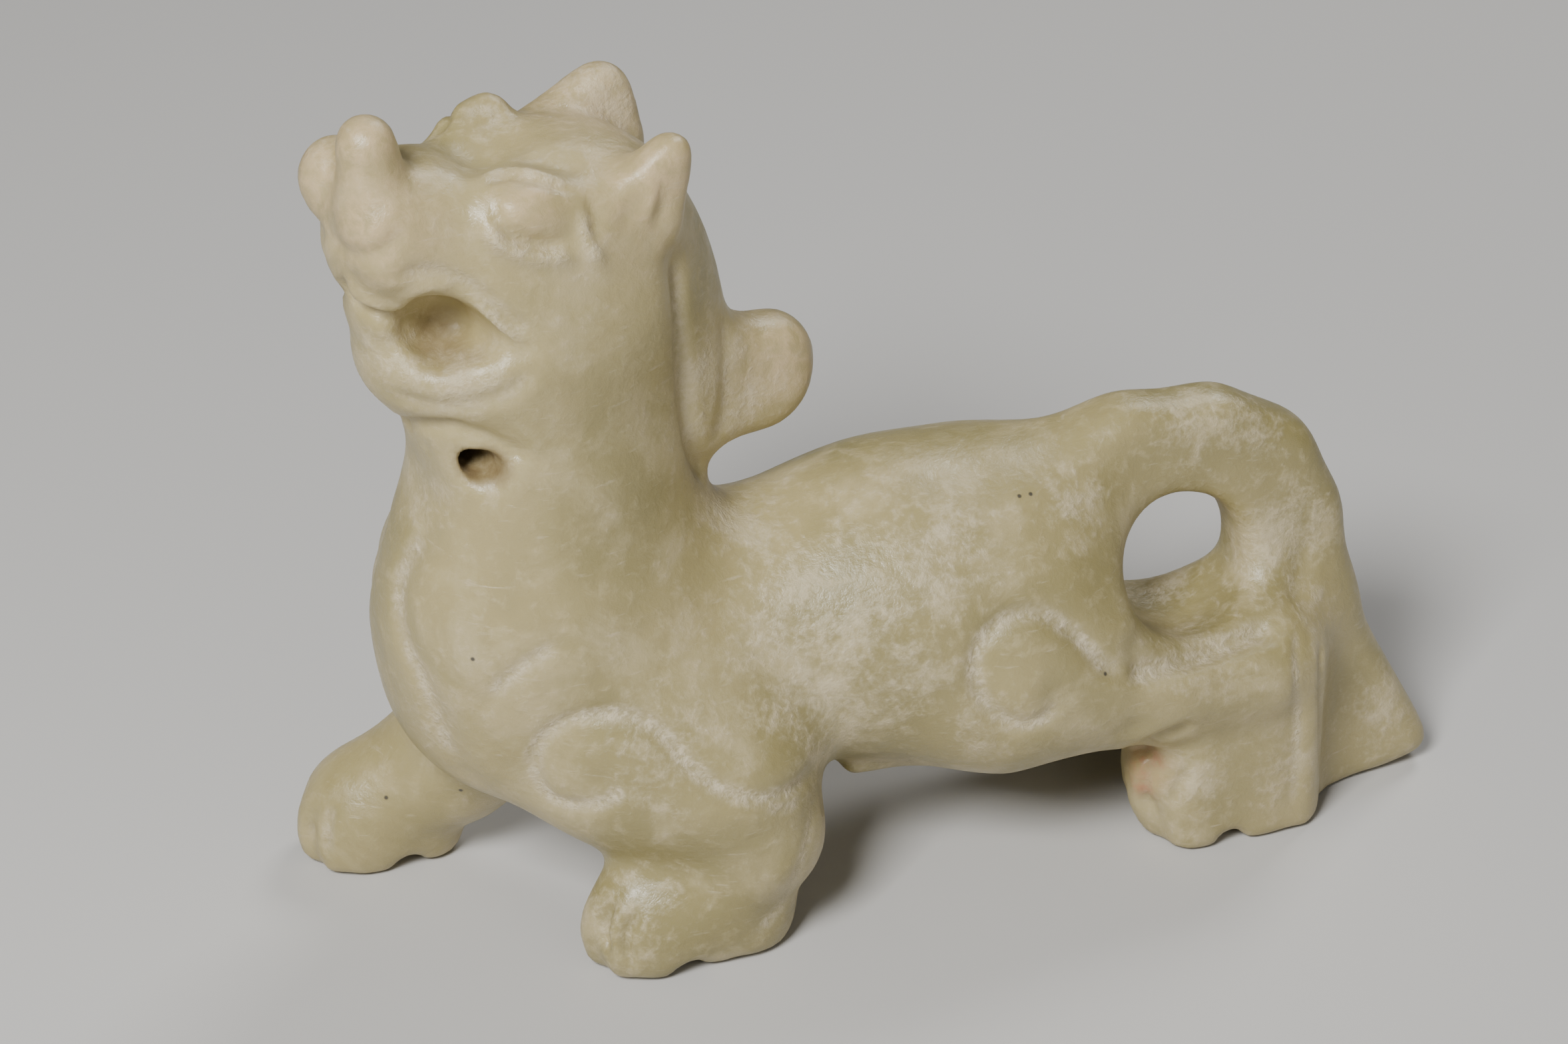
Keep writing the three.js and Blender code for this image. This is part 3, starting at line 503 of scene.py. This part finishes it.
# what a noise or tint turns into: its low and high value, and the share at each
shares = {
    "green": (0.36, 0.64, 0.0, 1.0),
    "cloudy": (0.46, 0.66, 0.0, 0.65),
    "mottled": (0.50, 0.68, 0.0, 0.45),
    "dark": (0.3, 0.6, 0.8, 0.3),
    "warm": (0.35, 0.62, 0.30, 0.75),
    "wornAndSheen": (0.53, 0.74, 0.0, 0.50),
    "chalk": (0.1, 0.9, 0.0, 0.8),
    "chalkMottle": (0.38, 0.60, 0.4, 1.0),
    "chalkGrain": (0.35, 0.60, 0.35, 1.0),
    "streak": (0.60, 0.74, 0.0, 0.35),
    "stain": (0.35, 0.6, 0.25, 0.85),
    "hole": (0.3, 0.7, 0.95, 0.6),
    "roughMottle": (0.35, 0.65, -0.05, 0.10),
    "pits": (0.0, 1.0, 0.25, 1.0),
}

# what the broken edge of a white patch is made of
wornParts = {"cloud": 0.35, "mottle": 0.35, "grain": 0.30, "wornAndSheen": 0.13}


def addNode(tree, kind, inputs=None, **settings):
    node = tree.nodes.new(kind)
    for name, value in settings.items():
        setattr(node, name, value)
    for name, value in (inputs or {}).items():
        if isinstance(value, bpy.types.NodeSocket):
            tree.links.new(value, node.inputs[name])
        else:
            node.inputs[name].default_value = value
    return node


def noise(tree, where, scale, detail, rough, twist):
    inputs = {"Vector": where, "Scale": scale, "Detail": detail, "Roughness": rough, "Distortion": twist}
    return addNode(tree, "ShaderNodeTexNoise", inputs).outputs["Fac"]


def ramp(tree, value, low, high, first, last):
    inputs = {"Value": value, "From Min": low, "From Max": high, "To Min": first, "To Max": last}
    return addNode(tree, "ShaderNodeMapRange", inputs, interpolation_type="SMOOTHSTEP").outputs["Result"]


def maths(tree, operation, first, second):
    return addNode(tree, "ShaderNodeMath", {0: first, 1: second}, operation=operation).outputs[0]


def product(tree, first, second):
    return maths(tree, "MULTIPLY", first, second)


def mixed(tree, share, first, second):
    node = addNode(tree, "ShaderNodeMix", {0: share}, data_type="RGBA")
    for index, value in ((6, first), (7, second)):
        if isinstance(value, bpy.types.NodeSocket):
            tree.links.new(value, node.inputs[index])
        else:
            node.inputs[index].default_value = (*value, 1)
    return node.outputs[2]


# the noises, and the tints laid on the beast
def stoneFields(tree, where):
    turned = {"Vector": where, "Rotation": streaks["turn"], "Scale": streaks["stretch"]}
    stretched = addNode(tree, "ShaderNodeMapping", turned).outputs["Vector"]
    fields = {}
    for name, settings in noises.items():
        fields[name] = noise(tree, stretched if name == "streak" else where, *settings)
    for name in tintNames:
        fields[name + "Tint"] = addNode(tree, "ShaderNodeAttribute", attribute_name=name).outputs["Fac"]
    return fields


# clouds inside the stone, painted shade in deeper green, and warm ochre that is partly painted light
def greenStone(tree, fields):
    colour = mixed(tree, ramp(tree, fields["drift"], *shares["green"]), jade["deepGreen"], jade["green"])
    colour = mixed(tree, ramp(tree, fields["cloud"], *shares["cloudy"]), colour, jade["cloud"])
    colour = mixed(tree, ramp(tree, fields["mottle"], *shares["mottled"]), colour, jade["cloud"])
    # painted shade: deeper green where the shade patches lie
    paintedShadeShare = product(tree, fields["darkTint"], ramp(tree, fields["cloud"], *shares["dark"]))
    colour = mixed(tree, paintedShadeShare, colour, jade["deepGreen"])
    # ochre and painted light on the snout, knob and ears
    warmAndPaintedLightShare = product(tree, fields["warmTint"], ramp(tree, fields["mottle"], *shares["warm"]))
    return mixed(tree, warmAndPaintedLightShare, colour, jade["warm"])


# white skin: patches with broken edges, where two on the tail's arch are a painted highlight, chalk along the
# carved lines, and streaks
def whiteSkin(tree, fields):
    patch = product(tree, fields["cloud"], wornParts["cloud"])
    for name, field in (("mottle", "mottle"), ("grain", "grain"), ("wornAndSheen", "wornAndSheenTint")):
        patch = maths(tree, "ADD", patch, product(tree, fields[field], wornParts[name]))
    wornAndSheenShare = ramp(tree, patch, *shares["wornAndSheen"])
    chalkShare = ramp(tree, fields["chalkTint"], *shares["chalk"])
    chalkShare = product(tree, chalkShare, ramp(tree, fields["mottle"], *shares["chalkMottle"]))
    chalkShare = product(tree, chalkShare, ramp(tree, fields["grain"], *shares["chalkGrain"]))
    streakShare = ramp(tree, fields["streak"], *shares["streak"])
    return maths(tree, "MAXIMUM", maths(tree, "MAXIMUM", wornAndSheenShare, chalkShare), streakShare)


def specked(tree, piece, where, colour):
    size = jade["speckRadius"] * mm
    near, far = (edge * size for edge in jade["speckEdge"])
    for pixel in jade["specks"]:
        at = underPixel(piece, *pixel)
        if at:
            centre = tuple(v * mm for v in at)
            gap = addNode(tree, "ShaderNodeVectorMath", {0: where, 1: centre}, operation="DISTANCE")
            share = ramp(tree, gap.outputs["Value"], near, far, jade["speckShare"], 0.0)
            colour = mixed(tree, share, colour, jade["speck"])
    return colour


# polished where it is green, dull where it is white and inside the holes
def stoneRoughness(tree, fields, whiteShare):
    rough = ramp(tree, whiteShare, 0.0, 1.0, jade["polish"], jade["dull"])
    rough = maths(tree, "ADD", rough, ramp(tree, fields["mottle"], *shares["roughMottle"]))
    return maths(tree, "MAXIMUM", rough, product(tree, fields["holeTint"], jade["holeDull"]))


def stoneNormal(tree, fields, whiteShare):
    pits = product(tree, fields["grain"], ramp(tree, whiteShare, *shares["pits"]))
    height = maths(tree, "ADD", pits, product(tree, fields["mottle"], jade["mottleHeight"]))
    inputs = {"Strength": jade["bump"], "Distance": jade["bumpHeight"] * mm, "Height": height}
    return addNode(tree, "ShaderNodeBump", inputs).outputs["Normal"]


def jadeMaterial(piece):
    stone = bpy.data.materials.new("paleJade")
    stone.use_nodes = True
    tree = stone.node_tree
    shader = tree.nodes["Principled BSDF"]
    where = addNode(tree, "ShaderNodeTexCoord").outputs["Object"]
    fields = stoneFields(tree, where)
    whiteShare = whiteSkin(tree, fields)
    colour = mixed(tree, whiteShare, greenStone(tree, fields), jade["chalk"])
    # the reddish stain, and the soil and painted shade inside the holes
    for name in ("stain", "hole"):
        share = product(tree, fields[name + "Tint"], ramp(tree, fields["mottle"], *shares[name]))
        colour = mixed(tree, share, colour, jade[name])
    colour = specked(tree, piece, where, colour)
    tree.links.new(colour, shader.inputs["Base Color"])
    tree.links.new(stoneRoughness(tree, fields, whiteShare), shader.inputs["Roughness"])
    tree.links.new(stoneNormal(tree, fields, whiteShare), shader.inputs["Normal"])
    shader.inputs["IOR"].default_value = jade["refraction"]
    shader.inputs["Subsurface Weight"].default_value = jade["glow"]
    shader.inputs["Subsurface Radius"].default_value = jade["glowRadius"]
    shader.inputs["Subsurface Scale"].default_value = jade["glowDepth"] * mm
    return stone


addCamera()
addStudio()
beastPiece = wrapBeast()
laidForms = carveBeast(beastPiece)
tintBeast(beastPiece, laidForms)
beastPiece.data.materials.append(jadeMaterial(beastPiece))
print("stone finished")
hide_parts("beast_figure")
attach(beastPiece, "root")
